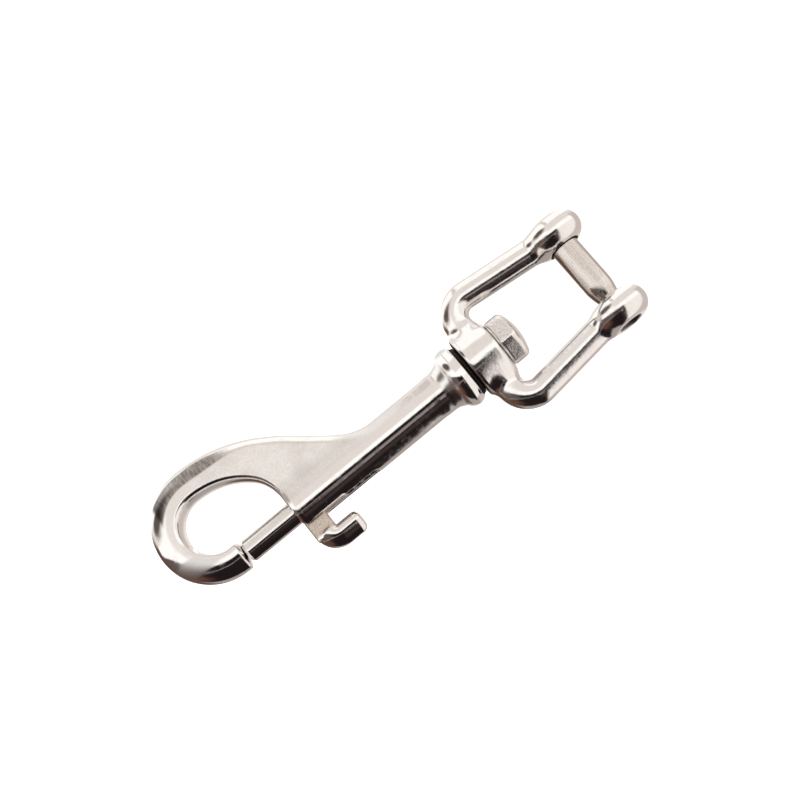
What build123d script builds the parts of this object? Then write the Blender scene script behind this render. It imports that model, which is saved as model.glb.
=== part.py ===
"""Stainless swivel bolt snap with a clevis fork, as separate named pieces. Millimetres.

Frame: the origin is the centre of the clevis pin. +X runs along the swivel axis, from the hook
to the fork. +Y lies in the plane of the hook, towards the hook's bulge, and the clevis pin runs
along it. +Z is normal to the plane of hook and fork; the snap lies flat with +Z up.
"""

import os
from math import hypot

from build123d import *

os.makedirs("parts", exist_ok=True)

# clevis pin: plain shank between the ears, thread in the -Y ear, drive end in the +Y ear
PIN_R = 3.175
PIN_THREAD_R = 2.5
PIN_RELIEF_R = 2.85  # shallow groove between the shank and the drive end
PIN_GAP = 0.05  # radial clearance of the pin in the ears
PIN_SHANK = 7.25  # half the shank's length
PIN_RELIEF_END = 7.85
PIN_THREAD_END = -12.8
PIN_DRIVE_END = 13.7
PIN_CHAMFER = 0.4
PIN_SEAT_CHAMFER = 0.45  # at the rims of both ears' holes where the pin shows
SOCKET_AF = 3.2
SOCKET_DEPTH = 3.0

# fork: X from the pin's axis, Y from the swivel axis
JAW_HALF = 7.3
EAR_FACE = 14.4
EAR_R = 6.6
EAR_FLAT_R = 3.95
EAR_BLEND = 2.5
ARM_R = 3.12
ARM_X = -28.1
ARM_Y = 13.77  # centre line where the two arms start
ARM_EAR_Y = 10.5  # centre line where they reach the ears
ARM_BEND_R = 4.8
BOSS_R = 7.2
BOSS_X = (-32.15, -24.4)
BOSS_ROUND = 1.0

# swivel bolt: hex head, shoulder the fork turns on, thread into the barrel's rear end
HEAD_AF = 11.1
HEAD_X = (-24.2, -18.8)
HEAD_FACE_H = 0.3
HEAD_FACE_R = 5.35
HEAD_TURN = 43.0  # degrees about X from +Y to the first corner
HEAD_CORNER = 0.65  # how far the corners stand out past the flats
HEAD_CROWN_R = 12.5
SHOULDER_R = 4.0
SHOULDER_GAP = 0.05
THREAD_R = 3.2
THREAD_END = -42.0
THREAD_GAP = 0.02

# barrel, collar bead and the spigot behind it that the fork's boss turns against
BARREL_R = 4.75
BARREL_X = -80.25
MOUTH_ROUND = 1.6
NECK_X = -39.8  # where the barrel starts to widen into the bead
BEAD_X = -34.9
BEAD_FRONT = -37.1
BEAD_R = 7.15
BEAD_REAR = -32.75
SPIGOT_R = 5.9
SPIGOT_END = -32.3
BORE_R = 2.7
TAPPED_END = -42.6

# hook and web
HOOK_T = 7.4
HOOK_X, HOOK_Y, HOOK_R = -95.25, 10.1, 13.4
EYE_X, EYE_Y, EYE_R = -95.3, 9.35, 6.25
EYE_BACK = -80.2
NOSE_X = -93.3
WEB_START = (-54.0, 4.3)
OUTER_ROUND = 2.8
EYE_ROUND = 2.3
NOSE_ROUND = 0.9
WEB_BLEND = 2.5

# bolt, lever and spring
BOLT_R = 2.65
BOLT_X = (-93.25, -69.5)
BOLT_CHAMFER = 0.6
SHANK_X = (-79.9, -74.8)
SHANK_T = 3.4
SHANK_ROUND = 0.7
TENON_R = 1.3
TENON_END = 2.3
KNOB_R = 2.6
KNOB_LEFT = -79.9
KNOB_END = -69.5
KNOB_TOP = -7.4
KNOB_BEND_R = 2.75
KNOB_END_ROUND = 1.2
SLOT_W = 4.0
SLOT_END = -60.4
SPRING_R = 2.1
WIRE_R = 0.3
SPRING_TURNS = 12


def along_x(radius, x0, x1):
    """A round bar about the X axis."""
    return Plane.YZ.offset(x0) * extrude(Circle(radius), x1 - x0)


def along_y(radius, y0, y1, x=0.0):
    """A round bar parallel to Y, at height z = 0."""
    start = Plane(origin=(x, y0, 0), x_dir=(1, 0, 0), z_dir=(0, 1, 0))
    return start * extrude(Circle(radius), y1 - y0)


def rims_at(solid, **at):
    """The solid's round edges whose centre has this x or y."""
    found = []
    for rim in solid.edges().filter_by(GeomType.CIRCLE):
        centre = rim.arc_center
        if all(abs(getattr(centre, k.upper()) - v) < 0.02 for k, v in at.items()):
            found.append(rim)
    return found


def middle(edge):
    return edge.position_at(0.5)


def flat_face_edges(solid):
    """The edges of the faces that look along +Z and -Z."""
    return [e for f in solid.faces().filter_by(Axis.Z) for e in f.edges()]


def hook_plate():
    """Hook and web, with the nose still too long: it is cut to length once its sides are rounded."""
    long_nose = EYE_BACK - 6
    top, bottom = HOOK_Y + HOOK_R, HOOK_Y - HOOK_R
    web_rise = [(-60.2, 5.8), (-66.7, 10.4), (-73.1, 15.7), (-79.7, 19.8), (-87.0, 22.5)]
    web = Spline([WEB_START, *web_rise, (HOOK_X, top)], tangents=((-1, 0), (-1, 0)))
    bow = ThreePointArc((HOOK_X, top), (HOOK_X - HOOK_R, HOOK_Y), (HOOK_X, bottom))
    eye_top, eye_bottom = EYE_Y + EYE_R, EYE_Y - EYE_R
    nose = Polyline((HOOK_X, bottom), (long_nose, bottom), (long_nose, eye_bottom), (EYE_X, eye_bottom))
    eye_bow = ThreePointArc((EYE_X, eye_bottom), (EYE_X - EYE_R, EYE_Y), (EYE_X, eye_top))
    eye_back = Spline(
        [(EYE_X, eye_top), (-86.0, 13.0), (-82.0, 9.3), (EYE_BACK, 2.0)],
        tangents=((1, 0), (0, -1)),
    )
    root = Polyline((EYE_BACK, 2.0), (EYE_BACK, -1), (WEB_START[0], -1), WEB_START)
    outline = make_face(web + bow + nose + eye_bow + eye_back + root)
    plate = extrude(outline, HOOK_T / 2, both=True)

    def on_eye(edge):
        m = middle(edge)
        return 3.0 < m.Y < eye_top - 0.5 and HOOK_X - HOOK_R + 1 < m.X < EYE_BACK - 1

    def on_outside(edge):
        m = middle(edge)
        return m.Y < bottom + 1 or m.X < HOOK_X - HOOK_R + 0.1 or m.Y > eye_top - 0.5

    plate = fillet([e for e in flat_face_edges(plate) if on_outside(e)], OUTER_ROUND)
    plate = fillet([e for e in flat_face_edges(plate) if on_eye(e)], EYE_ROUND)
    spare = Box(long_nose + 1 - NOSE_X, 8, 2 * HOOK_T, align=(Align.MIN, Align.CENTER, Align.CENTER))
    plate -= Pos(NOSE_X, 0, 0) * spare
    end = [f for f in plate.faces().filter_by(GeomType.PLANE) if abs(f.center().X - NOSE_X) < 0.01]
    return fillet(end[0].edges(), NOSE_ROUND)


def barrel_and_bead():
    """The round body behind the web, turned about X: mouth, neck flare, collar bead and spigot."""
    mouth_low, mouth_high = (BARREL_X, BARREL_R - MOUTH_ROUND), (BARREL_X + MOUTH_ROUND, BARREL_R)
    neck, front, rear = (NECK_X, BARREL_R), (BEAD_FRONT, SPIGOT_R), (BEAD_REAR, SPIGOT_R)
    profile = (
        Line((BARREL_X, 0), mouth_low)
        + RadiusArc(mouth_low, mouth_high, MOUTH_ROUND)
        + Line(mouth_high, neck)
        + ThreePointArc(neck, (-38.3, 5.05), front)
        + ThreePointArc(front, (BEAD_X, BEAD_R), rear)
        + Polyline(rear, (SPIGOT_END, SPIGOT_R), (SPIGOT_END, 0), (BARREL_X, 0))
    )
    return revolve(make_face(profile), Axis.X)


def snap_body():
    body = hook_plate() + barrel_and_bead()

    def on_seam(edge):
        m = middle(edge)
        on_barrel = abs(hypot(m.Y, m.Z) - BARREL_R) < 0.02
        return on_barrel and m.Y > 2 and -77.5 < m.X < -57 and abs(m.Z) > 0.1

    body = fillet([e for e in body.edges() if on_seam(e)], WEB_BLEND)
    body -= along_x(BORE_R, BARREL_X - 5, TAPPED_END)
    body -= along_x(THREAD_R + THREAD_GAP, TAPPED_END, SPIGOT_END + 1)
    slot_length = SLOT_END - (BARREL_X - 5)
    slot = Box(slot_length, 12, SLOT_W, align=(Align.MIN, Align.MAX, Align.CENTER))
    slot = fillet(slot.edges().filter_by(Axis.Y).group_by(Axis.X)[-1], 1.2)
    return body - Pos(BARREL_X - 5, 0, 0) * slot


def bolt():
    rod = along_x(BOLT_R, *BOLT_X)
    rod = chamfer(rims_at(rod, x=BOLT_X[0]), BOLT_CHAMFER)
    rod = chamfer(rims_at(rod, x=BOLT_X[1]), 0.4)
    tenon_x = sum(SHANK_X) / 2
    return rod - along_y(TENON_R, -5, 5, tenon_x)


def thumb_lever():
    """Flat shank with a round tenon in the bolt, and a round knob bent back towards the fork."""
    x0, x1 = SHANK_X
    shank_x = (x0 + x1) / 2
    bar_y = KNOB_TOP - KNOB_R
    bend_x = KNOB_LEFT + KNOB_R + KNOB_BEND_R
    path = RadiusArc((bend_x - KNOB_BEND_R, bar_y + KNOB_BEND_R), (bend_x, bar_y), -KNOB_BEND_R)
    path += Line((bend_x, bar_y), (KNOB_END, bar_y))
    section = Plane(origin=path @ 0, z_dir=path % 0) * Circle(KNOB_R)
    knob = sweep(section, path=path)
    knob = fillet([e for e in knob.edges() if abs(middle(e).X - KNOB_END) < 0.01], KNOB_END_ROUND)
    shank_top, shank_foot = -BOLT_R + 0.5, bar_y + KNOB_BEND_R - 0.8
    shank = Box(x1 - x0, shank_top - shank_foot, SHANK_T, align=(Align.CENTER, Align.MAX, Align.CENTER))
    shank = fillet(shank.edges().filter_by(Axis.Y), SHANK_ROUND)
    lever = knob + Pos(shank_x, shank_top, 0) * shank
    lever -= along_x(BOLT_R, *BOLT_X)
    return lever + along_y(TENON_R, shank_top - 2, TENON_END, shank_x)


def bolt_spring():
    start, end = BOLT_X[1] + WIRE_R + 0.05, THREAD_END - WIRE_R - 0.05
    coil = Helix((end - start) / SPRING_TURNS, end - start, SPRING_R)
    section = Plane(coil @ 0, z_dir=coil % 0) * Circle(WIRE_R)
    wire = sweep(section, path=coil)
    return Pos(start, 0, 0) * Rot(0, 90, 0) * wire


def swivel_bolt():
    base, top = HEAD_X
    hexagon = RegularPolygon(HEAD_AF / 2, 6, major_radius=False)
    head_start = Plane.YZ.offset(base + HEAD_FACE_H) * Rot(0, 0, HEAD_TURN)
    head = head_start * extrude(hexagon, top - base - HEAD_FACE_H)
    head &= along_x(HEAD_AF / 2 + HEAD_CORNER, base, top)
    head &= Pos(top - HEAD_CROWN_R, 0, 0) * Sphere(HEAD_CROWN_R)
    head += along_x(HEAD_FACE_R, base, base + HEAD_FACE_H)
    shoulder = along_x(SHOULDER_R, SPIGOT_END, base)
    thread = along_x(THREAD_R, THREAD_END, SPIGOT_END)
    thread = chamfer(rims_at(thread, x=THREAD_END), 0.5)
    return head + shoulder + thread


def ear(side):
    """One bulging ear of the fork, turned about the pin's axis, with flat ends."""
    inner, outer = side * JAW_HALF, side * EAR_FACE
    bulge = ThreePointArc((EAR_FLAT_R, inner), (EAR_R, (inner + outer) / 2), (EAR_FLAT_R, outer))
    ends = Polyline((EAR_FLAT_R, outer), (0, outer), (0, inner), (EAR_FLAT_R, inner))
    return revolve(make_face(bulge + ends), Axis.Y)


def fork():
    boss = along_x(BOSS_R, *BOSS_X)
    boss = fillet(rims_at(boss, x=BOSS_X[0]) + rims_at(boss, x=BOSS_X[1]), BOSS_ROUND)
    body = boss
    for side in (1, -1):
        corners = [(ARM_X, 0), (ARM_X, side * ARM_Y), (0, side * ARM_EAR_Y)]
        path = FilletPolyline(*corners, radius=ARM_BEND_R)
        section = Plane(origin=(ARM_X, 0, 0), z_dir=(0, side, 0)) * Circle(ARM_R)
        body += sweep(section, path=path)
        body += ear(side)
    seams = body.edges().filter_by(GeomType.BSPLINE)
    body = fillet([e for e in seams if middle(e).X > ARM_X / 2], EAR_BLEND)
    body -= along_x(SHOULDER_R + SHOULDER_GAP, BOSS_X[0] - 1, BOSS_X[1] + 1)
    body -= along_y(PIN_THREAD_R + PIN_GAP, -EAR_FACE - 1, 0)
    body -= along_y(PIN_R + PIN_GAP, 0, EAR_FACE + 1)
    hole_rims = rims_at(body, y=JAW_HALF) + rims_at(body, y=-EAR_FACE)
    return chamfer([rim for rim in hole_rims if rim.radius < EAR_FLAT_R - 0.1], PIN_SEAT_CHAMFER)


def clevis_pin():
    pin = along_y(PIN_R, -PIN_SHANK, PIN_SHANK)
    pin += along_y(PIN_THREAD_R, PIN_THREAD_END, -PIN_SHANK)
    pin += along_y(PIN_RELIEF_R, PIN_SHANK, PIN_RELIEF_END)
    pin += along_y(PIN_R, PIN_RELIEF_END, PIN_DRIVE_END)
    ends = rims_at(pin, y=PIN_THREAD_END) + rims_at(pin, y=PIN_DRIVE_END)
    pin = chamfer(ends, PIN_CHAMFER)
    seat = Plane(origin=(0, PIN_DRIVE_END, 0), x_dir=(1, 0, 0), z_dir=(0, -1, 0))
    return pin - seat * extrude(RegularPolygon(SOCKET_AF / 2, 6, major_radius=False), SOCKET_DEPTH)


pieces = {
    "snap_body": snap_body,
    "bolt": bolt,
    "thumb_lever": thumb_lever,
    "bolt_spring": bolt_spring,
    "swivel_bolt": swivel_bolt,
    "fork": fork,
    "clevis_pin": clevis_pin,
}
for name, make in pieces.items():
    export_step(make(), f"parts/{name}.step")
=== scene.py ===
"""Polished stainless swivel bolt snap with a clevis fork, lying on a white table in a light tent."""

from math import cos, degrees, radians, sin

import bpy
import numpy as np
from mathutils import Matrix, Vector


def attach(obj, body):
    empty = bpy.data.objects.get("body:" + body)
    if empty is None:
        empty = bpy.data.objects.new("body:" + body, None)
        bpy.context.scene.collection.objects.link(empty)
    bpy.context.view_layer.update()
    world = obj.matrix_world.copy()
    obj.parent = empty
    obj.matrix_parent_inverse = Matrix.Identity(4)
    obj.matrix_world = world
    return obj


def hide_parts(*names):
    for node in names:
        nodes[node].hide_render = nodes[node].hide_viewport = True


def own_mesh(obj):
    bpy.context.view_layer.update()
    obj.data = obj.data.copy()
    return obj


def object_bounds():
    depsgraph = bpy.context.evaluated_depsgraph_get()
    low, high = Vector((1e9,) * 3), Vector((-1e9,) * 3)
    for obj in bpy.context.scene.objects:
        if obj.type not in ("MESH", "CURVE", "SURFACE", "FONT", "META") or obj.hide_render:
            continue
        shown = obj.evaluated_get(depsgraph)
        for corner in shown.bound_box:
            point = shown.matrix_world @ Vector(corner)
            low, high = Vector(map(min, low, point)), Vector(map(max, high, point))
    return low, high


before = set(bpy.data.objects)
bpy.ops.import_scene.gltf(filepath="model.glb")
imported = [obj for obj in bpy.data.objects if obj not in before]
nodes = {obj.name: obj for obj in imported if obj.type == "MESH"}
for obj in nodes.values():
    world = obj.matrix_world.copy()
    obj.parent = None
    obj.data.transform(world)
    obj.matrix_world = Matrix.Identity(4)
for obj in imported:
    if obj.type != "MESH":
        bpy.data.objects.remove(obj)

import openvdb
from mathutils import Matrix, Vector

MM = 0.001
cad_box = [list(corner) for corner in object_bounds()]


# ---------------------------------------------------------------------------------------------
# Camera and studio. The camera looks down on the table and leans towards the lever side, and the
# snap's long axis rises to the right.

LEAN = radians(13)
RISE = radians(39.5)
DISTANCE = 340 * MM
FOCAL, SENSOR, NEAREST = 72.0, 36, 0.01
AIM = Vector((-47.7, 4.5, 0)) * MM

ALONG = Vector((1, 0, 0))
ACROSS = Vector((0, cos(LEAN), sin(LEAN)))
TOWARDS = Vector((0, -sin(LEAN), cos(LEAN)))


def make_camera():
    right = cos(RISE) * ALONG - sin(RISE) * ACROSS
    up = sin(RISE) * ALONG + cos(RISE) * ACROSS
    data = bpy.data.cameras.new("camera")
    data.lens = FOCAL
    data.sensor_width = SENSOR
    data.clip_start = NEAREST
    camera = bpy.data.objects.new("camera", data)
    place = Matrix((right, up, TOWARDS)).transposed().to_4x4()
    place.translation = AIM + DISTANCE * TOWARDS
    camera.matrix_world = place
    bpy.context.scene.collection.objects.link(camera)
    bpy.context.scene.camera = camera


class Graph:
    """Short names for the shader nodes used below."""

    def __init__(self, tree):
        self.tree = tree

    def put(self, socket, value):
        if isinstance(value, bpy.types.NodeSocket):
            self.tree.links.new(value, socket)
        elif value is not None:
            socket.default_value = value

    def node(self, kind, **settings):
        made = self.tree.nodes.new(kind)
        for name, value in settings.items():
            setattr(made, name, value)
        return made

    def math(self, operation, first, second=None, third=None):
        made = self.node("ShaderNodeMath", operation=operation)
        for socket, value in zip(made.inputs, (first, second, third)):
            self.put(socket, value)
        return made.outputs[0]

    def dot(self, vector, direction):
        made = self.node("ShaderNodeVectorMath", operation="DOT_PRODUCT")
        self.put(made.inputs[0], vector)
        self.put(made.inputs[1], tuple(direction))
        return made.outputs["Value"]

    def step(self, value, low, high):
        """0 below low, 1 above high, smooth between them; low may be the larger one."""
        made = self.node("ShaderNodeMapRange", interpolation_type="SMOOTHSTEP")
        at_min, at_max = (1.0, 0.0) if low > high else (0.0, 1.0)
        for name, setting in (("Value", value), ("From Min", min(low, high)), ("From Max", max(low, high)),
                              ("To Min", at_min), ("To Max", at_max)):
            self.put(made.inputs[name], setting)
        return made.outputs["Result"]

    def all(self, *masks):
        result = masks[0]
        for mask in masks[1:]:
            result = self.math("MULTIPLY", result, mask)
        return result

    def mix(self, factor, first, second):
        made = self.node("ShaderNodeMix", data_type="RGBA")
        self.put(made.inputs[0], factor)
        for socket, value in ((made.inputs[6], first), (made.inputs[7], second)):
            self.put(socket, value if isinstance(value, bpy.types.NodeSocket) else (*value, 1))
        return made.outputs[2]

    def blend(self, factor, first, second):
        made = self.node("ShaderNodeMix", data_type="FLOAT")
        self.put(made.inputs[0], factor)
        self.put(made.inputs[2], first)
        self.put(made.inputs[3], second)
        return made.outputs[0]

    def split(self, vector):
        made = self.node("ShaderNodeSeparateXYZ")
        self.put(made.inputs[0], vector)
        return made.outputs

    def scaled(self, vector, scale):
        made = self.node("ShaderNodeVectorMath", operation="MULTIPLY")
        self.put(made.inputs[0], vector)
        self.put(made.inputs[1], scale)
        return made.outputs[0]

    def noise(self, vector, scale, detail=2.0, roughness=0.5, distortion=0.0):
        made = self.node("ShaderNodeTexNoise")
        self.put(made.inputs["Vector"], vector)
        for name, value in (("Scale", scale), ("Detail", detail), ("Roughness", roughness),
                            ("Distortion", distortion)):
            made.inputs[name].default_value = value
        return made.outputs["Fac"]


def srgb(*channels):
    return tuple(c / 12.92 if c < 0.04045 else ((c + 0.055) / 1.055) ** 2.4 for c in channels)


# the tent's colours as seen, and how bright it is
WHITE_CLOTH = srgb(1.0, 0.99, 0.975)
FRONT_CLOTH = srgb(0.87, 0.84, 0.815)
BACK_CLOTH = srgb(0.88, 0.855, 0.835)
LOW_CLOTH = srgb(0.94, 0.91, 0.89)
TOP_CLOTH = srgb(0.80, 0.765, 0.74)
LEFT_WALL = srgb(0.47, 0.40, 0.35)
FOLD = srgb(0.36, 0.32, 0.295)
ROOM = srgb(0.12, 0.095, 0.095)
ROOM_GLOW = srgb(0.22, 0.185, 0.18)
ROOM_BROWN = srgb(0.36, 0.25, 0.21)
ROOM_HAZE = srgb(0.36, 0.32, 0.31)
SEAM = srgb(0.55, 0.51, 0.50)
TABLE_LEFT, TABLE_RIGHT = srgb(0.63, 0.595, 0.58), srgb(0.76, 0.72, 0.70)
TABLE_FAR, TABLE_UNDER = srgb(0.36, 0.29, 0.24), srgb(0.90, 0.87, 0.85)
TENT_STRENGTH = 1.12
FOLD_CENTRE, FOLD_HALF = (-50, 59), (38, 20)
FRONT_TILT, FRONT_SLANT = 0.2, 0.16


def make_world():
    """The tent as the snap sees it, in degrees from the camera's direction: right along the long axis,
    up across it. White cloth all round, an open front with the dark room behind it, the table below."""
    world = bpy.data.worlds.new("tent")
    world.use_nodes = True
    bpy.context.scene.world = world
    g = Graph(world.node_tree)
    direction = g.node("ShaderNodeTexCoord").outputs["Generated"]
    x, y, z = (g.dot(direction, axis) for axis in (ALONG, ACROSS, TOWARDS))
    flat = g.math("SQRT", g.math("ADD", g.math("MULTIPLY", x, x), g.math("MULTIPLY", y, y)))
    turn = g.math("MULTIPLY", g.math("ARCCOSINE", z), degrees(1))
    ratio = g.math("DIVIDE", turn, g.math("MAXIMUM", flat, 1e-4))
    right, up = g.math("MULTIPLY", x, ratio), g.math("MULTIPLY", y, ratio)

    # cloth
    cloth = g.mix(g.step(up, 19, 29), WHITE_CLOTH, FRONT_CLOTH)
    cloth = g.mix(g.step(up, 62, 73), cloth, WHITE_CLOTH)
    cloth = g.mix(g.step(up, 112, 130), cloth, BACK_CLOTH)
    cloth = g.mix(g.step(up, 4, -6), cloth, LOW_CLOTH)
    left_wall = g.all(g.step(right, -94, -112), g.step(up, 66, 44), g.step(up, -24, -4))
    cloth = g.mix(left_wall, cloth, LEFT_WALL)
    bright = g.all(g.step(right, -8, -25), g.step(up, 42, 34), g.step(up, 0, 8))
    cloth = g.mix(bright, cloth, WHITE_CLOTH)
    overhead = g.all(g.step(right, -12, -7), g.step(right, 4, 1), g.step(up, 60, 74), g.step(up, 124, 116))
    cloth = g.mix(overhead, cloth, TOP_CLOTH)
    # a fold at the upper left
    off = [g.math("DIVIDE", g.math("SUBTRACT", value, centre), half)
           for value, centre, half in zip((right, up), FOLD_CENTRE, FOLD_HALF)]
    fold = g.math("ADD", *(g.math("MULTIPLY", value, value) for value in off))
    cloth = g.mix(g.step(fold, 1.1, 0.25), cloth, FOLD)

    # the open front, its upper edge rising to the left
    glow = g.all(g.step(up, -56, -46), g.step(up, -30, -36), g.step(right, -9, -4))
    room = g.mix(glow, ROOM, ROOM_GLOW)
    room = g.mix(g.all(g.step(right, -45, -70), g.step(up, -70, -35)), room, ROOM_BROWN)
    room = g.mix(g.all(g.step(right, -24, -46), g.step(up, -24, -4)), room, ROOM_HAZE)
    seam = g.all(g.step(up, -29, -24), g.step(up, -14, -18), g.step(right, -5.5, -2.5), g.step(right, 5, 3))
    room = g.mix(seam, room, SEAM)
    rising = g.math("ADD", up, g.math("MULTIPLY", g.math("MINIMUM", right, 0), FRONT_TILT))
    slanted = g.math("SUBTRACT", right, g.math("MULTIPLY", up, FRONT_SLANT))
    lower = g.all(g.step(slanted, 23, 13), g.step(up, -10, -16))
    lens = g.all(g.step(right, 19, 12), g.step(rising, 6, 1), g.step(up, -16, -11))
    light = g.mix(g.math("MAXIMUM", lower, lens), cloth, room)

    # the table; the open front reaches lower down in front of the barrel
    table = g.mix(g.step(right, -5, 40), TABLE_LEFT, TABLE_RIGHT)
    table = g.mix(g.step(right, -72, -98), table, TABLE_FAR)
    table = g.mix(g.step(turn, 140, 160), table, TABLE_UNDER)
    in_front = g.all(g.step(right, -30, -12), g.step(right, 4, 2.5), g.step(up, 0, -5))
    below = g.all(g.step(g.math("MULTIPLY_ADD", in_front, -12, turn), 97, 106), g.step(up, 46, 36))
    light = g.mix(below, light, table)

    background = world.node_tree.nodes["Background"]
    g.put(background.inputs["Color"], light)
    background.inputs["Strength"].default_value = TENT_STRENGTH


# radius and height of the table top's rings, in metres: flat, then swept up into a backdrop
FLOOR_PROFILE = ((2.0, 0.0), (2.5, 0.08), (2.85, 0.35), (3.05, 0.9), (3.1, 5.0))
FLOOR_SIDES = 64


def floor_material(name, base, glow):
    """White that gives off light of its own; base is how much of the tent's light it scatters."""
    material = bpy.data.materials.new(name)
    material.use_nodes = True
    shader = material.node_tree.nodes["Principled BSDF"]
    shader.inputs["Base Color"].default_value = (base, base, base, 1)
    shader.inputs["Roughness"].default_value = 0.9
    shader.inputs["Specular IOR Level"].default_value = 0.5 if base else 0
    shader.inputs["Emission Color"].default_value = (1, 1, 1, 1)
    shader.inputs["Emission Strength"].default_value = glow
    return material


def make_floor():
    """Back-lit white table top, swept up behind. The snap reflects the world's table instead, so that
    the floor stays plain."""
    lowest = cad_box[0][2]
    turns = [radians(360 * i / FLOOR_SIDES) for i in range(FLOOR_SIDES)]
    points = [(r * cos(t), r * sin(t), lowest + up) for r, up in FLOOR_PROFILE for t in turns]
    faces = [tuple(range(FLOOR_SIDES))]
    for start in range(0, (len(FLOOR_PROFILE) - 1) * FLOOR_SIDES, FLOOR_SIDES):
        for i in range(FLOOR_SIDES):
            after = (i + 1) % FLOOR_SIDES
            faces.append((start + i, start + after, start + FLOOR_SIDES + after, start + FLOOR_SIDES + i))
    mesh = bpy.data.meshes.new("floor")
    mesh.from_pydata(points, [], faces)
    mesh.materials.append(floor_material("floor_white", 0.9, 0.9))
    mesh.materials.append(floor_material("backdrop_white", 0.0, 1.0))
    for face in mesh.polygons[1:]:
        face.material_index = 1
    floor = bpy.data.objects.new("floor", mesh)
    bpy.context.scene.collection.objects.link(floor)
    floor.visible_glossy = False


# ---------------------------------------------------------------------------------------------
# Castings. The hook's body and the fork are drawn again as smooth implicit shapes, negative inside,
# in millimetres, so that every face runs into the next as it does on a polished casting.

def smooth_min(a, b, k):
    """The lower of the two, with a blend about k wide where they cross."""
    h = np.clip(0.5 + 0.5 * (b - a) / k, 0, 1)
    return b + (a - b) * h - k * h * (1 - h)


def smooth_max(a, b, k):
    return -smooth_min(-a, -b, k)


def smooth_step(value, low, high):
    """0 at low, 1 at high; low may be the larger one."""
    t = np.clip((value - low) / (high - low), 0, 1)
    return t * t * (3 - 2 * t)


def rounded_box(u, v, half_u, half_v, radius):
    """Signed distance in a plane to a box about the origin with rounded corners."""
    qu, qv = np.abs(u) - half_u + radius, np.abs(v) - half_v + radius
    outside = np.hypot(np.maximum(qu, 0), np.maximum(qv, 0))
    return outside + np.minimum(np.maximum(qu, qv), 0) - radius


class Outline:
    """Signed distance to a closed outline in the XY plane, negative inside, read from a fine grid."""

    STEP = 0.1

    def __init__(self, points, low, high):
        a = np.asarray(points, float)
        b = np.roll(a, -1, axis=0)
        xs = np.arange(low[0], high[0], self.STEP)
        ys = np.arange(low[1], high[1], self.STEP)
        px, py = np.meshgrid(xs, ys, indexing="ij")
        best = np.full(px.shape, 1e9)
        inside = np.zeros(px.shape, bool)
        for (x0, y0), (x1, y1) in zip(a, b):
            dx, dy = x1 - x0, y1 - y0
            length = dx * dx + dy * dy
            if length < 1e-12:
                continue
            t = np.clip(((px - x0) * dx + (py - y0) * dy) / length, 0, 1)
            best = np.minimum(best, (px - x0 - t * dx) ** 2 + (py - y0 - t * dy) ** 2)
            if y0 != y1:
                crosses = (y0 > py) != (y1 > py)
                inside ^= crosses & (px < x0 + (py - y0) * dx / dy)
        self.low = low
        self.grid = np.where(inside, -1, 1) * np.sqrt(best)

    def __call__(self, x, y):
        """Smooth reading of the grid: quadratic B-spline."""
        u, v = (x - self.low[0]) / self.STEP, (y - self.low[1]) / self.STEP
        i = np.clip(np.rint(u).astype(int), 1, self.grid.shape[0] - 2)
        j = np.clip(np.rint(v).astype(int), 1, self.grid.shape[1] - 2)
        fu, fv = np.clip(u - i, -0.5, 0.5), np.clip(v - j, -0.5, 0.5)
        weights_u = (0.5 * (0.5 - fu) ** 2, 0.75 - fu ** 2, 0.5 * (0.5 + fu) ** 2)
        weights_v = (0.5 * (0.5 - fv) ** 2, 0.75 - fv ** 2, 0.5 * (0.5 + fv) ** 2)
        total = 0
        for di, wu in zip((-1, 0, 1), weights_u):
            for dj, wv in zip((-1, 0, 1), weights_v):
                total = total + wu * wv * self.grid[i + di, j + dj]
        return total


def arc(centre, radius, start, end, steps=48):
    turn = np.radians(np.linspace(start, end, steps))
    return [(centre[0] + radius * np.cos(t), centre[1] + radius * np.sin(t)) for t in turn]


def curve(points, start, end, steps=14):
    """Smooth line through the points (cubic Hermite), with the two end directions given."""
    p = np.asarray(points, float)
    chord = np.linalg.norm(np.diff(p, axis=0), axis=1)
    slopes = [np.asarray(start, float)]
    for i in range(1, len(p) - 1):
        before, after = (p[i] - p[i - 1]) / chord[i - 1], (p[i + 1] - p[i]) / chord[i]
        slopes.append((before * chord[i] + after * chord[i - 1]) / (chord[i - 1] + chord[i]))
    slopes.append(np.asarray(end, float))
    line = []
    for i, length in enumerate(chord):
        t = np.linspace(0, 1, steps, endpoint=False)[:, None]
        line.extend((2 * t**3 - 3 * t**2 + 1) * p[i] + (t**3 - 2 * t**2 + t) * length * slopes[i]
                    + (3 * t**2 - 2 * t**3) * p[i + 1] + (t**3 - t**2) * length * slopes[i + 1])
    line.append(p[-1])
    return [tuple(q) for q in line]


# the hook, as part.py gives it
HOOK, HOOK_R, HALF_T = (-95.25, 10.1), 13.4, 3.7
EYE, EYE_R = (-95.3, 9.35), 6.25
EYE_BACK = -80.2
NOSE_X = -93.3
BARREL_X, BARREL_R, MOUTH_ROUND = -80.25, 4.75, 1.6
BEAD_X, BEAD_R, BEAD_ARC_R, BEAD_REAR = -34.9, 7.15, 2.5, -32.75
SPIGOT_R, SPIGOT_END = 5.9, -32.3
BORE_R, BORE_START, BORE_END = 2.7, -85.0, -42.6
TAPPED_R = 3.22
SLOT_HALF, SLOT_END, SLOT_REACH, SLOT_ROUND = 2.0, -60.4, 25, 1.2
WEB_EDGE = [(-54.0, 4.3), (-60.2, 5.8), (-66.7, 10.4), (-73.1, 15.7), (-79.7, 19.8), (-87.0, 22.5)]
UNDER_EDGE = [(-86.0, HOOK[1] - HOOK_R), (-80.5, 0.2), (-54.0, 0.2)]
EYE_EDGE = [(-86.0, 13.0), (-82.0, 9.3), (EYE_BACK, 2.0)]
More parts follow.
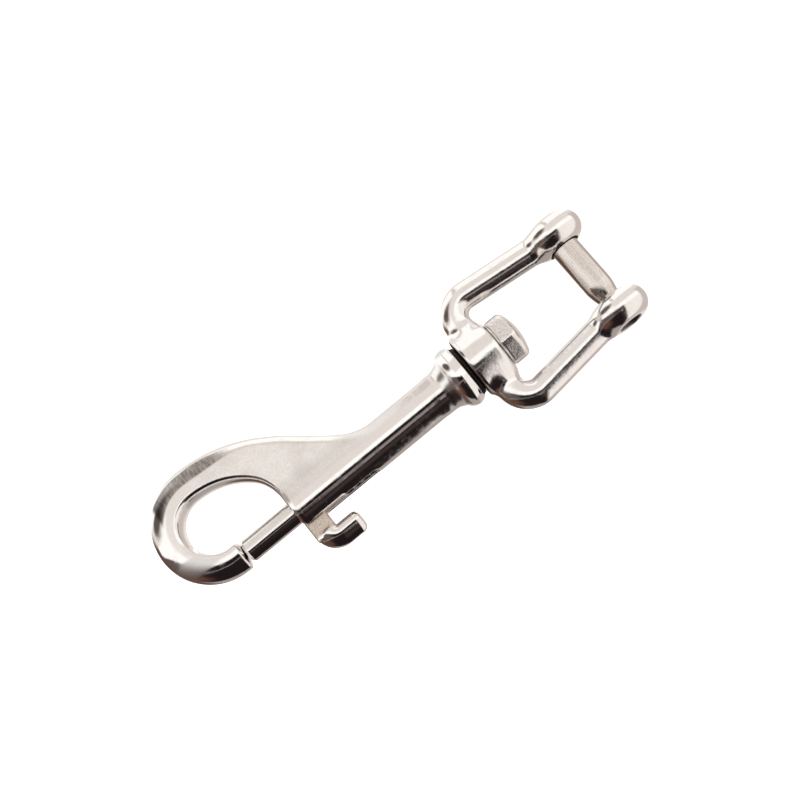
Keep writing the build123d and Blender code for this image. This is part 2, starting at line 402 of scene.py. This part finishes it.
MOUTH_X, MOUTH_LOW = -89.0, -9.0
OUTLINE_BOX = (-112.0, -12.0), (-26.0, 27.0)

# how far the rounding of the plate's edges reaches in
WEB_RIM, BOW_RIM, EYE_RIM, NOSE_RIM = 2.3, 4.7, 1.5, 1.0
PLATE_SCALE = 2.6


def make_outlines():
    web = curve(WEB_EDGE + [(HOOK[0], HOOK[1] + HOOK_R)], (-1, 0), (-1, 0))
    outer = web + arc(HOOK, HOOK_R, 90, 270, 120)[1:] + UNDER_EDGE
    eye = arc(EYE, EYE_R, 270, 90, 60)
    eye += curve([(EYE[0], EYE[1] + EYE_R)] + EYE_EDGE, (1, 0), (0, -1))[1:]
    eye += [(EYE_BACK, MOUTH_LOW), (MOUTH_X, MOUTH_LOW), (MOUTH_X, EYE[1] - EYE_R)]
    return Outline(outer, *OUTLINE_BOX), Outline(eye, *OUTLINE_BOX)


def barrel_shape(x, y, z):
    around = np.hypot(y, z)
    middle, half = (BARREL_X + BEAD_REAR) / 2, (BEAD_REAR - BARREL_X) / 2
    tube = rounded_box(x - middle, around, half, BARREL_R, MOUTH_ROUND)
    flare = around - BARREL_R + 0.4 * smooth_step(x, -40.5, -44.0) - 1.1 * smooth_step(x, -39.8, -36.3)
    flare = smooth_max(flare, x - BEAD_REAR + 1.2, 0.6)
    bead = np.hypot(x - BEAD_X, around - BEAD_R + BEAD_ARC_R) - BEAD_ARC_R
    bead = np.where(around < BEAD_R - BEAD_ARC_R, np.abs(x - BEAD_X) - BEAD_ARC_R, bead)
    bead = smooth_max(bead, x - BEAD_REAR, 0.5)
    spigot = smooth_max(around - SPIGOT_R, np.maximum(x - SPIGOT_END, BEAD_X - x), 0.2)
    neck = smooth_min(tube, np.maximum(flare, -44 - x), 0.4)
    return np.minimum(smooth_min(neck, bead, 0.45), spigot)


def make_body_shape():
    outer, eye = make_outlines()

    def plate(x, y, z):
        edge, hole = -outer(x, y), eye(x, y)
        # a narrow rim round the eye; outside a narrow rim on the web, a long round one on the bow
        wide = WEB_RIM + (BOW_RIM - WEB_RIM) * smooth_step(x, -78.0, -92.0)
        out = np.maximum(1 - edge / wide, 0)
        inner = np.maximum(1 - hole / EYE_RIM, 0)
        nose = np.where((y < 6) & (x > -98), np.maximum(1 - (NOSE_X - x) / NOSE_RIM, 0), 0)
        nose = nose * (x < -84)
        up = np.abs(z) / HALF_T
        return (np.sqrt(out**2 + inner**2 + nose**2 + up**2) - 1) * PLATE_SCALE

    def shape(x, y, z):
        blend = 0.3 + 1.3 * smooth_step(x, -54.0, -66.0)
        body = smooth_min(plate(x, y, z), barrel_shape(x, y, z), blend)
        body = smooth_max(body, -eye(x, y), 0.7)
        around = np.hypot(y, z)
        bore = np.maximum(around - BORE_R, x - BORE_END)
        tapped = np.maximum(around - TAPPED_R, BORE_END - x)
        slot = rounded_box(x - SLOT_END + SLOT_REACH, z, SLOT_REACH, SLOT_HALF, SLOT_ROUND)
        slot = np.maximum(slot, y)
        hollow = np.maximum(np.minimum(np.minimum(bore, tapped), slot), BORE_START - x)
        return smooth_max(body, -hollow, 0.45)

    return shape


ARM_X, ARM_Y, ARM_EAR_Y, ARM_R, ARM_BEND_R = -28.1, 13.77, 10.5, 3.12, 4.8
BOSS_R, BOSS_X, BOSS_HALF = 7.2, -28.275, 3.875
EAR_R, EAR_MIDDLE, EAR_HALF, EAR_BULGE_R = 6.6, 10.85, 3.55, 3.7
SHOULDER_HOLE_R = 4.05
THREAD_HOLE_R, DRIVE_HOLE_R, SEAT_CHAMFER = 2.55, 3.225, 0.45


def arm_distance(x, y):
    """Distance in the plane to an arm's centre line: out from the boss, round the bend, to the ear."""
    corner = np.array((ARM_X, ARM_Y))
    along_arm = np.array((0.0, ARM_EAR_Y)) - corner
    length = np.linalg.norm(along_arm)
    along_arm /= length
    opening = np.arccos(np.dot(along_arm, (0, -1)))
    back = ARM_BEND_R / np.tan(opening / 2)
    bisector = along_arm + np.array((0, -1))
    bisector /= np.linalg.norm(bisector)
    centre = corner + bisector * ARM_BEND_R / np.sin(opening / 2)
    upright = np.hypot(x - ARM_X, y - np.clip(y, 0, ARM_Y - back))
    s = np.clip((x - corner[0]) * along_arm[0] + (y - corner[1]) * along_arm[1], back, length)
    lying = np.hypot(x - corner[0] - s * along_arm[0], y - corner[1] - s * along_arm[1])
    bend = np.abs(np.hypot(x - centre[0], y - centre[1]) - ARM_BEND_R)
    side_up = y - (ARM_Y - back)
    side_lie = (x - corner[0]) * along_arm[0] + (y - corner[1]) * along_arm[1] - back
    within = (side_up > 0) & (side_lie < 0)
    return np.where(within, bend, np.minimum(upright, lying))


THREAD_PITCH, THREAD_DEPTH = 1.0, 0.3


def thread_depth(x, y, z):
    """How far the pin's thread lies under its crest, on a helix about Y."""
    phase = (y / THREAD_PITCH + np.arctan2(z, x) / (2 * np.pi)) % 1
    return THREAD_DEPTH * (1 - np.minimum(1, 2.6 * np.abs(phase - 0.5)))


def fork_shape(x, y, z):
    side = np.abs(y)
    around = np.hypot(y, z)
    # the boss tapers towards the jaw
    behind = np.clip(x - BOSS_X + BOSS_HALF, 0, 2 * BOSS_HALF)
    taper = 0.04 * behind + 0.004 * behind**2
    boss = rounded_box(x - BOSS_X, around + taper, BOSS_HALF, BOSS_R, 1.0)
    arm = np.hypot(arm_distance(x, side), z) - ARM_R
    from_pin = np.hypot(x, z)
    bulge = np.hypot(from_pin - (EAR_R - EAR_BULGE_R), side - EAR_MIDDLE) - EAR_BULGE_R
    bulge = np.where(from_pin < EAR_R - EAR_BULGE_R, np.abs(side - EAR_MIDDLE) - EAR_BULGE_R, bulge)
    ears = smooth_max(bulge, np.abs(side - EAR_MIDDLE) - EAR_HALF, 0.3)
    body = smooth_min(smooth_min(boss, arm, 2.2), ears, 1.3)
    body = smooth_max(body, BOSS_X - BOSS_HALF - x, 0.3)
    # plain hole in the +Y ear, tapped hole in the -Y ear, each with a chamfer where the pin shows
    depth = np.where(y > 0, side - EAR_MIDDLE, EAR_MIDDLE - side) + EAR_HALF
    hole_r = np.where(y > 0, DRIVE_HOLE_R, THREAD_HOLE_R - thread_depth(x, y, z))
    hole_r = np.maximum(hole_r, np.where(y > 0, DRIVE_HOLE_R, THREAD_HOLE_R) + SEAT_CHAMFER - depth)
    pin_holes = np.maximum(from_pin - hole_r, 5 - side)
    hollow = np.minimum(around - SHOULDER_HOLE_R + 50 * (x > -20), pin_holes)
    return smooth_max(body, -hollow, 0.2)


PIN_R, PIN_THREAD_R, PIN_RELIEF_R = 3.175, 2.5, 2.85
PIN_SHANK, PIN_RELIEF_END, PIN_THREAD_END, PIN_DRIVE_END = 7.25, 7.85, -12.8, 13.7
PIN_TAPER_START, PIN_TAPER = -3.5, 0.7
SOCKET_AF, SOCKET_DEPTH = 3.2, 3.0
WIRE_HOLE, WIRE_HOLE_HALF = (-1.2, -6.2), (0.5, 0.85)


def hexagon(u, v, across_flats, turn, soft):
    """Signed distance in a plane to a hexagon with soft corners, one of them at turn degrees."""
    result = None
    for k in range(3):
        face = np.radians(turn + 30 + 60 * k)
        side = np.abs(u * np.cos(face) + v * np.sin(face)) - across_flats / 2
        result = side if result is None else smooth_max(result, side, soft)
    return result


def pin_shape(x, y, z):
    around = np.hypot(x, z)
    crest = PIN_THREAD_R - thread_depth(x, y, z) * smooth_step(y, -PIN_SHANK - 0.3, -PIN_SHANK - 1.2)
    taper = np.clip((PIN_TAPER_START - y) / (PIN_TAPER_START + PIN_SHANK), 0, 1)
    radius = np.where(y < -PIN_SHANK, crest, PIN_R - PIN_TAPER * taper**1.6)
    radius = np.where((y > PIN_SHANK) & (y < PIN_RELIEF_END), PIN_RELIEF_R, radius)
    ends = smooth_max(y - PIN_DRIVE_END, PIN_THREAD_END - y, 0.1)
    body = smooth_max(around - radius, ends, 0.8)
    socket = np.maximum(hexagon(x, z, SOCKET_AF, 0, 0.1), PIN_DRIVE_END - SOCKET_DEPTH - y)
    body = smooth_max(body, -socket, 0.25)
    wire_hole = rounded_box(x - WIRE_HOLE[0], y - WIRE_HOLE[1], *WIRE_HOLE_HALF, 0.45)
    return smooth_max(body, -np.maximum(wire_hole, 2.0 - z), 0.2)


SHANK_X, SHANK_HALF, SHANK_HALF_T = -77.35, 2.55, 1.7
KNOB_R, KNOB_BEND_R, KNOB_BAR_Y = 2.6, 2.75, -10.0
KNOB_BEND_X, KNOB_END = -74.55, -69.5
PAD_TILT, PAD_DEPTH = radians(32), 2.35
TENON_R, TENON_END, BOLT_R = 1.3, 2.3, 2.65


def lever_shape(x, y, z):
    """Flat shank, round tenon in the bolt, and a knob with a flattened thumb side, bent to the rear."""
    bend_y = KNOB_BAR_Y + KNOB_BEND_R
    from_bend = np.hypot(x - KNOB_BEND_X, y - bend_y) - KNOB_BEND_R
    out = np.where(x < KNOB_BEND_X, from_bend, KNOB_BAR_Y - y)
    height = np.abs(z)
    knob = np.hypot(out, z) - KNOB_R
    pad = out * np.sin(PAD_TILT) + height * np.cos(PAD_TILT) - PAD_DEPTH
    knob = smooth_max(knob, pad, 1.3)
    knob = smooth_max(smooth_max(knob, x - KNOB_END, 1.6), y - bend_y, 0.8)
    shank = rounded_box(x - SHANK_X, z, SHANK_HALF, SHANK_HALF_T, 0.6)
    shank = np.maximum(np.maximum(shank, y + BOLT_R - 0.5), bend_y - 1.0 - y)
    body = smooth_min(knob, shank, 0.5)
    body = np.maximum(body, BOLT_R - np.hypot(y, z))
    tenon = np.maximum(np.hypot(x - SHANK_X, z) - TENON_R, np.maximum(y - TENON_END, -5 - y))
    return np.minimum(body, tenon)


HEAD_AF, HEAD_TURN, HEAD_BASE, HEAD_TOP = 11.1, 43.0, -24.2, -18.8
HEAD_FACE_H, HEAD_FACE_R, HEAD_CORNER_R, HEAD_CROWN_R = 0.3, 5.35, 6.2, 12.5
SHOULDER_R, SWIVEL_THREAD_R, SWIVEL_END = 4.0, 3.2, -42.0


def swivel_shape(x, y, z):
    around = np.hypot(y, z)
    head = hexagon(y, z, HEAD_AF, HEAD_TURN, 0.5)
    head = smooth_max(head, around - HEAD_CORNER_R, 0.5)
    crown = np.sqrt((x - HEAD_TOP + HEAD_CROWN_R) ** 2 + y**2 + z**2) - HEAD_CROWN_R
    head = smooth_max(head, crown, 0.9)
    head = smooth_max(head, HEAD_BASE + HEAD_FACE_H - x, 0.35)
    washer = smooth_max(around - HEAD_FACE_R, np.abs(x - HEAD_BASE - 1.0) - 1.0, 0.2)
    shoulder = np.maximum(around - SHOULDER_R, np.maximum(x - HEAD_BASE - 1, SPIGOT_END - x))
    thread = smooth_max(around - SWIVEL_THREAD_R, np.maximum(x - HEAD_BASE, SWIVEL_END - x), 0.5)
    return np.minimum(smooth_min(head, washer, 0.2), np.minimum(shoulder, thread))


def cast(name, shape, low, high, voxel):
    """Mesh of an implicit shape between two corners: marched on a grid, then every point is moved onto
    the surface and given the surface's own normal."""
    axes = [np.arange(low[i], high[i], voxel) for i in range(3)]
    values = shape(*np.meshgrid(*axes, indexing="ij"))
    grid = openvdb.FloatGrid(background=float(values.max()))
    grid.copyFromArray(np.clip(values, -2, 2).astype(np.float32))
    points, quads = grid.convertToQuads(isovalue=0.0)
    points = points.astype(float) * voxel + np.array([axis[0] for axis in axes])

    def gradient(p, step=0.02):
        parts = []
        for i in range(3):
            ahead, behind = p.copy(), p.copy()
            ahead[:, i] += step
            behind[:, i] -= step
            parts.append((shape(*ahead.T) - shape(*behind.T)) / (2 * step))
        return np.stack(parts, axis=1)

    for _ in range(3):
        slope = gradient(points)
        move = -shape(*points.T)[:, None] * slope / np.maximum((slope**2).sum(1), 0.05)[:, None]
        size = np.linalg.norm(move, axis=1, keepdims=True)
        points += move * np.minimum(1, 0.4 * voxel / np.maximum(size, 1e-9))
    normals = gradient(points)
    normals /= np.linalg.norm(normals, axis=1, keepdims=True)

    mesh = bpy.data.meshes.new(name)
    mesh.from_pydata((points * MM).tolist(), [], quads.tolist())
    mesh.update()
    face = mesh.polygons[0]
    if face.normal.dot(Vector(normals[face.vertices[0]])) < 0:
        mesh.flip_normals()
    mesh.shade_smooth()
    mesh.normals_split_custom_set_from_vertices(normals.tolist())
    piece = bpy.data.objects.new(name, mesh)
    bpy.context.scene.collection.objects.link(piece)
    return piece


SPRING_R, WIRE_R, SPRING_TURNS, SPRING_X, BOLT_TRAVEL = 2.1, 0.3, 12, (-69.15, -42.35), 13.5


def coil_spring(name, steps=32, sides=12):
    """Compression spring of round wire between the bolt and the swivel bolt's end."""
    turn = np.linspace(0, 2 * np.pi * SPRING_TURNS, SPRING_TURNS * steps + 1)
    rise = (SPRING_X[1] - SPRING_X[0]) / SPRING_TURNS / (2 * np.pi)
    out = np.stack([0 * turn, np.sin(turn), -np.cos(turn)], axis=1)
    line = SPRING_R * out + np.outer(SPRING_X[0] + rise * turn, (1, 0, 0))
    ahead = np.stack([0 * turn + rise, SPRING_R * np.cos(turn), SPRING_R * np.sin(turn)], axis=1)
    ahead /= np.linalg.norm(ahead, axis=1, keepdims=True)
    side = np.cross(ahead, out)
    angles = 2 * np.pi * np.arange(sides)[:, None] / sides
    rings = line[:, None] + WIRE_R * (np.cos(angles) * out[:, None] + np.sin(angles) * side[:, None])
    last = (len(turn) - 1) * sides
    faces = [tuple(range(sides))[::-1], tuple(range(last, last + sides))]
    for start in range(0, last, sides):
        for k in range(sides):
            after = (k + 1) % sides
            faces.append((start + k, start + after, start + sides + after, start + sides + k))
    mesh = bpy.data.meshes.new(name)
    mesh.from_pydata((rings.reshape(-1, 3) * MM).tolist(), [], faces)
    mesh.shade_smooth()
    piece = bpy.data.objects.new(name, mesh)
    bpy.context.scene.collection.objects.link(piece)
    return piece


# ---------------------------------------------------------------------------------------------
# Finishes. All are read in the piece's own coordinates, in millimetres, so they travel with it.

# depth of the bump on castings and on turned bar, in metres
CAST_RELIEF, TURNED_RELIEF = 0.00006, 0.00001
# painted shade: near black for the gaps and pin holes of the castings, dark grey inside the pin's wire hole
GAP_AND_HOLE_SHADE, WIRE_HOLE_SHADE = (0.05, 0.04, 0.035), (0.12, 0.10, 0.09)


def finish(name, colour, rough):
    """Bare steel, with the graph and the handles that the finishes below work on."""
    material = bpy.data.materials.new(name)
    material.use_nodes = True
    shader = material.node_tree.nodes["Principled BSDF"]
    shader.inputs["Base Color"].default_value = (*colour, 1)
    shader.inputs["Metallic"].default_value = 1
    shader.inputs["Roughness"].default_value = rough
    g = Graph(material.node_tree)
    place = g.node("ShaderNodeTexCoord")
    in_mm = g.scaled(place.outputs["Object"], (1 / MM, 1 / MM, 1 / MM))
    return material, shader, g, in_mm, place.outputs["Normal"]


def bump(g, shader, height, distance):
    """Height in parts of distance, which is in metres."""
    made = g.node("ShaderNodeBump")
    made.inputs["Strength"].default_value = 1.0
    made.inputs["Distance"].default_value = distance
    g.put(made.inputs["Height"], height)
    g.put(shader.inputs["Normal"], made.outputs["Normal"])


def cast_finish(name, polish, peel):
    """Hand-polished casting: faint ripples and pits everywhere, satin on the web, painted shade in the gaps
    and pin holes.
    polish is the roughness of the shiny parts, peel how strong their orange-peel texture is."""
    material, shader, g, place, normal = finish(name, (0.9, 0.88, 0.87), polish)
    x, y, z = g.split(place)
    _, ny, nz = g.split(normal)
    level = g.math("ABSOLUTE", nz)
    low_flat = g.all(g.step(y, 7.5, 5.5), g.step(level, 0.55, 0.8))
    flat = g.math("MAXIMUM", g.step(level, 0.90, 0.99), low_flat)
    web = g.all(flat, g.step(y, 0.8, 3.2), g.step(x, -98, -88), g.step(x, -45, -55))
    fine = g.noise(place, 1.6, 3, 0.6)
    grain = g.noise(place, 2.3, 4, 0.7)
    cloudy = g.noise(place, 0.55, 3, 0.55)
    worn = g.math("MULTIPLY", g.step(cloudy, 0.50, 0.66), 0.35)
    patchy = g.blend(g.step(cloudy, 0.35, 0.6), 0.75, 1.0)
    satin = g.math("MAXIMUM", g.math("MULTIPLY", web, patchy), worn)
    tint = g.mix(grain, (0.89, 0.87, 0.86), (0.97, 0.955, 0.95))
    satin_tint = g.mix(g.step(grain, 0.25, 0.75), (0.84, 0.81, 0.79), (1.0, 0.98, 0.97))
    clouds = g.step(g.noise(place, 0.16, 2, 0.5), 0.65, 0.35)
    satin_tint = g.mix(g.math("MULTIPLY", clouds, 0.35), satin_tint, (0.66, 0.62, 0.60))
    colour = g.mix(satin, tint, satin_tint)
    # a ground patch on the bow, with strokes across it; its dark tint, set by which way the surface faces
    # and near black at its end, is also a painted reflection of the dark room
    strokes = g.noise(g.scaled(place, (2.2, 0.5, 0.5)), 1.0, 3, 0.6)
    bow = g.all(g.step(x, -104, -103), g.step(x, -81, -88), g.step(y, 13, 15))
    ground_and_reflection = g.math("MULTIPLY", g.all(bow, g.step(ny, 0.05, 0.14), g.step(ny, 0.70, 0.60)), 0.9)
    strokes_and_reflection_tint = g.mix(g.step(strokes, 0.2, 0.75), (0.11, 0.095, 0.085), (0.44, 0.405, 0.385))
    strokes_and_reflection_tint = g.mix(g.step(x, -100, -103), strokes_and_reflection_tint, (0.06, 0.048, 0.042))
    colour = g.mix(ground_and_reflection, colour, strokes_and_reflection_tint)
    # painted shade: near black in the gap between the bead and the fork's boss, in the tapped hole of the
    # -Y ear and on the seat round the pin in the +Y ear
    gap = g.all(g.step(x, -33.4, -32.8), g.step(x, -31.7, -32.1))
    from_pin = g.math("SQRT", g.math("ADD", g.math("MULTIPLY", x, x), g.math("MULTIPLY", z, z)))
    threaded = g.math("MULTIPLY", g.all(g.step(from_pin, 2.95, 2.7), g.step(y, 0, -1)), 0.85)
    seat = g.all(g.step(from_pin, 3.9, 3.6), g.step(y, 0, 1))
    dark = g.math("MAXIMUM", g.math("MAXIMUM", gap, threaded), seat)
    g.put(shader.inputs["Base Color"], g.mix(dark, colour, GAP_AND_HOLE_SHADE))
    neck = g.all(g.step(x, -40.5, -38.5), g.step(x, -36.2, -36.9))
    rough = g.blend(satin, g.blend(cloudy, polish * 0.7, polish * 1.3), g.blend(grain, 0.24, 0.34))
    fillet = g.all(g.step(y, 7.0, 5.5), g.step(y, 1.0, 2.5), g.step(x, -45, -55))
    rough = g.blend(fillet, g.blend(g.math("MAXIMUM", ground_and_reflection, neck), rough, 0.26), 0.42)
    g.put(shader.inputs["Roughness"], g.blend(dark, rough, 0.6))
    ripple = g.noise(place, 0.33, 2, 0.5)
    pits = g.blend(satin, g.math("MULTIPLY", fine, peel), g.math("MULTIPLY", grain, 0.22))
    bump(g, shader, g.math("ADD", g.math("MULTIPLY", ripple, 0.3 + peel), pits), CAST_RELIEF)
    return material


def turned_finish(name, colour, rough, along_axis, streaks=0.5):
    """Turned bar: fine rings round its axis, streaks along it and a little cloudiness. The pin, which
    lies along y, has painted shade inside its wire hole."""
    material, shader, g, place, _ = finish(name, colour, rough)
    across = (12.0, 0.5, 0.5) if along_axis == "x" else (0.5, 12.0, 0.5)
    lengthwise = (0.12, 2.4, 2.4) if along_axis == "x" else (2.4, 0.12, 2.4)
    rings = g.noise(g.scaled(place, across), 1.0, 3, 0.6)
    lines = g.noise(g.scaled(place, lengthwise), 1.0, 3, 0.6)
    cloudy = g.noise(place, 0.8, 3, 0.55)
    grain = g.noise(place, 3.0, 3, 0.6)
    dark = tuple(c * (1 - streaks) for c in colour)
    worn = g.math("MULTIPLY", g.math("ADD", lines, grain), 0.5)
    steel = g.mix(g.step(worn, 0.3, 0.62), dark, colour)
    if along_axis == "y":
        x, y, z = g.split(place)
        # painted shade inside the wire hole
        off = (g.math("ABSOLUTE", g.math("SUBTRACT", c, at)) for c, at in zip((x, y), WIRE_HOLE))
        inside = (g.step(o, half + 0.1, half - 0.15) for o, half in zip(off, WIRE_HOLE_HALF))
        steel = g.mix(g.all(*inside, g.step(z, 2.9, 2.5)), steel, WIRE_HOLE_SHADE)
    g.put(shader.inputs["Base Color"], steel)
    g.put(shader.inputs["Roughness"], g.blend(cloudy, rough * 0.7, rough * 1.3))
    height = g.math("ADD", g.math("MULTIPLY", rings, 0.4), g.math("MULTIPLY", lines, 0.6))
    bump(g, shader, height, TURNED_RELIEF)
    return material


def lever_finish():
    """As-cast flat shank, polished knob."""
    material, shader, g, place, _ = finish("lever_steel", (0.9, 0.88, 0.87), 0.08)
    rough_part = g.step(g.split(place)[1], -8.0, -7.2)
    grain = g.noise(place, 2.4, 4, 0.7)
    cloudy = g.noise(place, 0.9, 3, 0.55)
    tint = g.mix(grain, (0.86, 0.83, 0.81), (0.94, 0.92, 0.91))
    cast_tint = g.mix(g.step(grain, 0.3, 0.7), (0.55, 0.45, 0.37), (0.90, 0.82, 0.74))
    g.put(shader.inputs["Base Color"], g.mix(rough_part, tint, cast_tint))
    rough = g.blend(rough_part, g.blend(cloudy, 0.05, 0.10), g.blend(grain, 0.32, 0.5))
    g.put(shader.inputs["Roughness"], rough)
    pits = g.blend(rough_part, g.math("MULTIPLY", grain, 0.03), grain)
    bump(g, shader, g.math("ADD", g.math("MULTIPLY", cloudy, 0.2), pits), CAST_RELIEF)
    return material


def head_finish():
    """Forged hexagon head: grainy flats, smooth crown; painted shade on the shoulder in the gap."""
    material, shader, g, place, normal = finish("bolt_steel", (0.88, 0.86, 0.84), 0.12)
    flats = g.step(g.math("ABSOLUTE", g.split(normal)[0]), 0.35, 0.10)
    grain = g.noise(place, 2.6, 5, 0.72)
    cloudy = g.noise(place, 0.9, 3, 0.6)
    tint = g.mix(grain, (0.82, 0.79, 0.77), (0.94, 0.92, 0.90))
    flat_tint = g.mix(g.step(grain, 0.3, 0.7), (0.70, 0.67, 0.65), (0.95, 0.93, 0.92))
    # painted shade: the shoulder between the bead and the fork's boss is near black
    gap = g.step(g.split(place)[0], -31.6, -32.0)
    colour = g.mix(flats, tint, flat_tint)
    g.put(shader.inputs["Base Color"], g.mix(gap, colour, (0.06, 0.045, 0.04)))
    rough = g.blend(flats, g.blend(cloudy, 0.08, 0.16), g.blend(grain, 0.08, 0.22))
    g.put(shader.inputs["Roughness"], g.blend(gap, rough, 0.6))
    height = g.math("ADD", g.math("MULTIPLY", cloudy, 0.5), g.math("MULTIPLY", grain, 0.35))
    bump(g, shader, height, CAST_RELIEF)
    return material


# ---------------------------------------------------------------------------------------------

make_camera()
make_floor()
make_world()
bpy.context.scene.view_settings.view_transform = "Standard"

for name, shape, low, high, voxel, body, node, slot, material in (
    ("hook_casting", make_body_shape(), (-109.5, -8.2, -8.3), (-31.5, 24.5, 8.3), 0.27,
     "snap", "snap_body", "cast_stainless", cast_finish("hook_steel", 0.08, 0.06)),
    ("fork_casting", fork_shape, (-33.0, -18.0, -8.5), (8.0, 18.0, 8.5), 0.22,
     "jaw", "fork", "cast_stainless", cast_finish("fork_steel", 0.13, 0.3)),
    ("thumb_casting", lever_shape, (-81.0, -13.5, -3.5), (-68.5, 3.5, 3.5), 0.11,
     "gate", "thumb_lever", "lever_stainless", lever_finish()),
    ("hex_head_bolt", swivel_shape, (-43.0, -7.5, -7.5), (-18.0, 7.5, 7.5), 0.15,
     "snap", "swivel_bolt", "bolt_stainless", head_finish()),
    ("screw_pin", pin_shape, (-4.0, -15.2, -4.0), (4.0, 15.7, 4.0), 0.11,
     "pin", "clevis_pin", "turned_stainless", turned_finish("pin_bar", (0.80, 0.74, 0.70), 0.2, "y", 0.25)),
):
    piece = cast(name, shape, low, high, voxel)
    piece.data.materials.append(material)
    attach(piece, body)
    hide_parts(node)

spring = coil_spring("coil_spring")
spring.data.materials.append(turned_finish("spring_wire", (0.70, 0.68, 0.66), 0.25, "x"))
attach(spring, "snap")
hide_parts("bolt_spring")
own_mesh(spring)

bolt_bar = turned_finish("bolt_bar", (0.90, 0.88, 0.86), 0.09, "x", 0.15)
for holder in nodes["bolt"].material_slots:
    holder.material = bolt_bar
